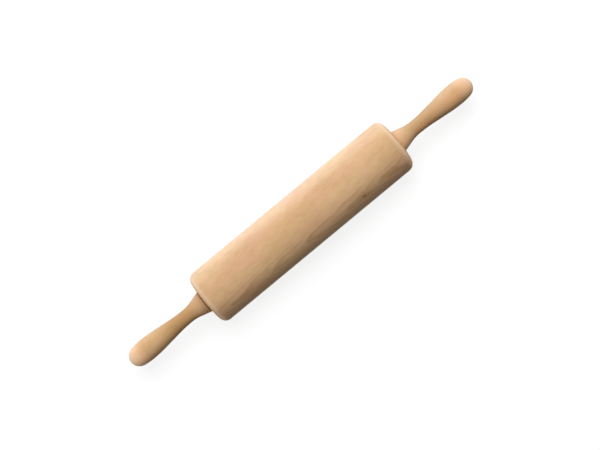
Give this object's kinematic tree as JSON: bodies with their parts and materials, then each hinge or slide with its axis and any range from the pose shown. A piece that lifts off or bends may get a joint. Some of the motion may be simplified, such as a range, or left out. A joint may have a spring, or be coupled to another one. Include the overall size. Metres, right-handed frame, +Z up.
{
  "type": "rolling pin",
  "caption": "Turned beech rolling pin whose barrel runs on ball bearings round a steel axle between two waisted handles.",
  "frame": {"origin": "on the worktop, below the middle of the barrel", "axes": "+X along the axle towards the right handle, +Z up"},
  "size_m": [0.444, 0.06, 0.06],
  "materials": {
    "barrel_wood": "fine-sanded, bare or lightly oiled beech",
    "handle_wood": "fine-sanded, lightly oiled beech",
    "axle_steel": "drawn bar, zinc-plated",
    "bearing_steel": "ground and polished",
    "shield_steel": "pressed sheet",
    "brass": "turned",
    "cage_nylon": "moulded, natural"
  },
  "bodies": {
    "roller": {"barrel": "barrel_wood", "left_bearing_outer_ring": "bearing_steel", "left_bearing_shield": "shield_steel", "right_bearing_outer_ring": "bearing_steel", "right_bearing_shield": "shield_steel"},
    "handles": {"axle": "axle_steel", "left_handle": "handle_wood", "left_handle_insert": "brass", "left_spacer": "axle_steel", "left_bearing_inner_ring": "bearing_steel", "right_handle": "handle_wood", "right_handle_insert": "brass", "right_spacer": "axle_steel", "right_bearing_inner_ring": "bearing_steel"},
    "left_cage": {"left_bearing_cage": "cage_nylon"},
    "left_ball_1": {"left_ball_1": "bearing_steel"},
    "left_ball_2": {"left_ball_2": "bearing_steel"},
    "left_ball_3": {"left_ball_3": "bearing_steel"},
    "left_ball_4": {"left_ball_4": "bearing_steel"},
    "left_ball_5": {"left_ball_5": "bearing_steel"},
    "left_ball_6": {"left_ball_6": "bearing_steel"},
    "right_cage": {"right_bearing_cage": "cage_nylon"},
    "right_ball_1": {"right_ball_1": "bearing_steel"},
    "right_ball_2": {"right_ball_2": "bearing_steel"},
    "right_ball_3": {"right_ball_3": "bearing_steel"},
    "right_ball_4": {"right_ball_4": "bearing_steel"},
    "right_ball_5": {"right_ball_5": "bearing_steel"},
    "right_ball_6": {"right_ball_6": "bearing_steel"}
  },
  "joints": [
    {"name": "handle_spin", "type": "hinge", "parent": "roller", "child": "handles", "pos_m": [0, 0, 0.03], "axis": [1, 0, 0], "continuous": true},
    {"name": "left_cage_orbit", "type": "hinge", "parent": "roller", "child": "left_cage", "pos_m": [-0.1215, 0, 0.03], "axis": [1, 0, 0], "continuous": true},
    {"name": "left_ball_1_roll", "type": "hinge", "parent": "left_cage", "child": "left_ball_1", "pos_m": [-0.1215, 0, 0.03625], "axis": [1, 0, 0], "continuous": true},
    {"name": "left_ball_2_roll", "type": "hinge", "parent": "left_cage", "child": "left_ball_2", "pos_m": [-0.1215, 0.00541, 0.03313], "axis": [1, 0, 0], "continuous": true},
    {"name": "left_ball_3_roll", "type": "hinge", "parent": "left_cage", "child": "left_ball_3", "pos_m": [-0.1215, 0.00541, 0.02687], "axis": [1, 0, 0], "continuous": true},
    {"name": "left_ball_4_roll", "type": "hinge", "parent": "left_cage", "child": "left_ball_4", "pos_m": [-0.1215, 0, 0.02375], "axis": [1, 0, 0], "continuous": true},
    {"name": "left_ball_5_roll", "type": "hinge", "parent": "left_cage", "child": "left_ball_5", "pos_m": [-0.1215, -0.00541, 0.02687], "axis": [1, 0, 0], "continuous": true},
    {"name": "left_ball_6_roll", "type": "hinge", "parent": "left_cage", "child": "left_ball_6", "pos_m": [-0.1215, -0.00541, 0.03313], "axis": [1, 0, 0], "continuous": true},
    {"name": "right_cage_orbit", "type": "hinge", "parent": "roller", "child": "right_cage", "pos_m": [0.1215, 0, 0.03], "axis": [1, 0, 0], "continuous": true},
    {"name": "right_ball_1_roll", "type": "hinge", "parent": "right_cage", "child": "right_ball_1", "pos_m": [0.1215, 0, 0.03625], "axis": [1, 0, 0], "continuous": true},
    {"name": "right_ball_2_roll", "type": "hinge", "parent": "right_cage", "child": "right_ball_2", "pos_m": [0.1215, -0.00541, 0.03313], "axis": [1, 0, 0], "continuous": true},
    {"name": "right_ball_3_roll", "type": "hinge", "parent": "right_cage", "child": "right_ball_3", "pos_m": [0.1215, -0.00541, 0.02687], "axis": [1, 0, 0], "continuous": true},
    {"name": "right_ball_4_roll", "type": "hinge", "parent": "right_cage", "child": "right_ball_4", "pos_m": [0.1215, 0, 0.02375], "axis": [1, 0, 0], "continuous": true},
    {"name": "right_ball_5_roll", "type": "hinge", "parent": "right_cage", "child": "right_ball_5", "pos_m": [0.1215, 0.00541, 0.02687], "axis": [1, 0, 0], "continuous": true},
    {"name": "right_ball_6_roll", "type": "hinge", "parent": "right_cage", "child": "right_ball_6", "pos_m": [0.1215, 0.00541, 0.03313], "axis": [1, 0, 0], "continuous": true}
  ],
  "couplings": [
    {"joint": "left_cage_orbit", "follows": "handle_spin", "ratio": 0.36},
    {"joint": "left_ball_1_roll", "follows": "handle_spin", "ratio": -1.6457},
    {"joint": "left_ball_2_roll", "follows": "handle_spin", "ratio": -1.6457},
    {"joint": "left_ball_3_roll", "follows": "handle_spin", "ratio": -1.6457},
    {"joint": "left_ball_4_roll", "follows": "handle_spin", "ratio": -1.6457},
    {"joint": "left_ball_5_roll", "follows": "handle_spin", "ratio": -1.6457},
    {"joint": "left_ball_6_roll", "follows": "handle_spin", "ratio": -1.6457},
    {"joint": "right_cage_orbit", "follows": "handle_spin", "ratio": 0.36},
    {"joint": "right_ball_1_roll", "follows": "handle_spin", "ratio": -1.6457},
    {"joint": "right_ball_2_roll", "follows": "handle_spin", "ratio": -1.6457},
    {"joint": "right_ball_3_roll", "follows": "handle_spin", "ratio": -1.6457},
    {"joint": "right_ball_4_roll", "follows": "handle_spin", "ratio": -1.6457},
    {"joint": "right_ball_5_roll", "follows": "handle_spin", "ratio": -1.6457},
    {"joint": "right_ball_6_roll", "follows": "handle_spin", "ratio": -1.6457}
  ]
}
